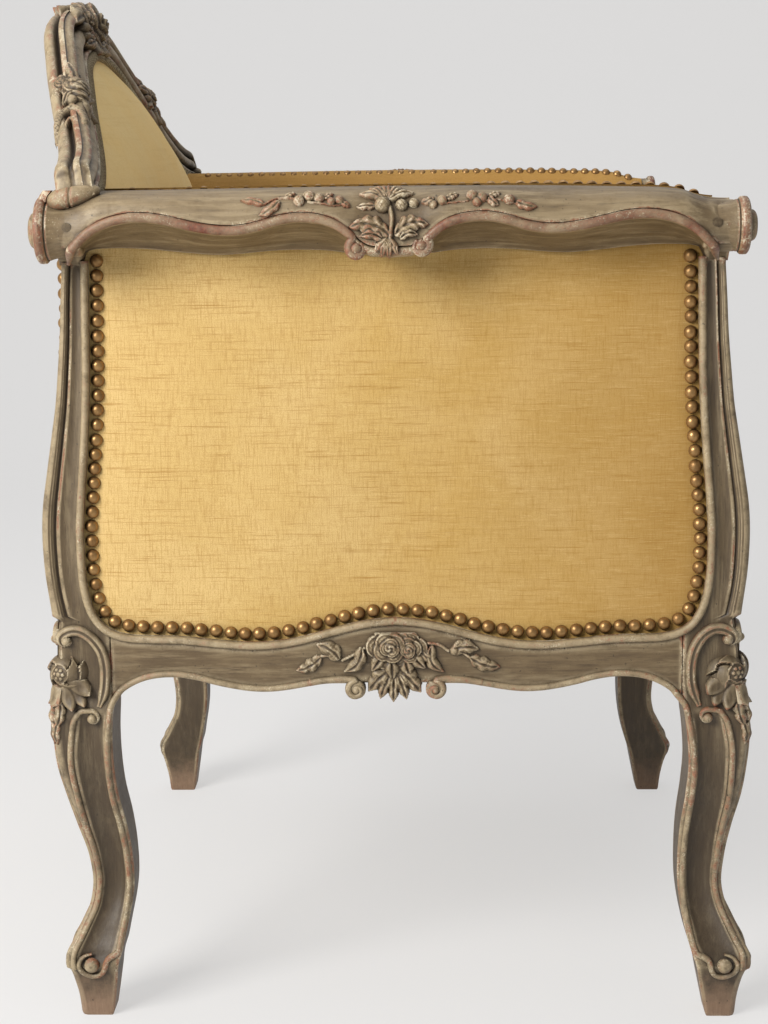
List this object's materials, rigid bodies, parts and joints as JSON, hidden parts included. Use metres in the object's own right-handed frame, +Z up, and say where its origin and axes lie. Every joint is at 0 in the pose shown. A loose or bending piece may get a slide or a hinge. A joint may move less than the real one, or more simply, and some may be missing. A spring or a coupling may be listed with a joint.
{
  "type": "bergere chair",
  "caption": "Carved and painted bergere armchair with rolled arms, cabriole legs, a low arched back, upholstered sides and a loose seat cushion.",
  "frame": {"origin": "on the floor, midway between the chair's front and back and between its arms", "axes": "+Z up, -Y the way the sitter faces, +X the sitter's left"},
  "size_m": [0.732, 0.6162, 0.8584],
  "materials": {
    "painted_wood": "worn taupe grey-green paint over a red-brown ground",
    "bare_wood": "bare beech",
    "outer_velvet": "mustard velvet with horizontal slubs",
    "inner_velvet": "paler ochre velvet",
    "hessian": "coarse hessian",
    "webbing": "woven jute webbing",
    "nails": "antique bronzed dome-headed nails",
    "gimp": "grey-brown woven gimp braid"
  },
  "bodies": {
    "root": {"front_corner_post_right": "painted_wood", "front_corner_post_left": "painted_wood", "back_corner_post_right": "painted_wood", "back_corner_post_left": "painted_wood", "front_seat_rail": "painted_wood", "back_seat_rail": "painted_wood", "side_seat_rail_right": "painted_wood", "side_seat_rail_left": "painted_wood", "arm_rail_right": "painted_wood", "arm_rail_left": "painted_wood", "back_stile_right": "painted_wood", "back_stile_left": "painted_wood", "crest_rail": "painted_wood", "front_arm_peg_right": "bare_wood", "front_arm_peg_left": "bare_wood", "back_arm_peg_right": "bare_wood", "back_arm_peg_left": "bare_wood", "front_corner_block_right": "bare_wood", "front_corner_block_left": "bare_wood", "back_corner_block_right": "bare_wood", "back_corner_block_left": "bare_wood", "arm_tack_rail_right": "bare_wood", "arm_tack_rail_left": "bare_wood", "back_tack_rail": "bare_wood", "side_cover_right": "outer_velvet", "side_cover_left": "outer_velvet", "back_cover": "outer_velvet", "front_border": "outer_velvet", "arm_pad_right": "inner_velvet", "arm_pad_left": "inner_velvet", "back_pad": "inner_velvet", "seat_deck": "inner_velvet", "seat_cushion": "inner_velvet", "arm_hessian_right": "hessian", "arm_hessian_left": "hessian", "back_hessian": "hessian", "seat_webbing": "webbing"}
  },
  "joints": []
}
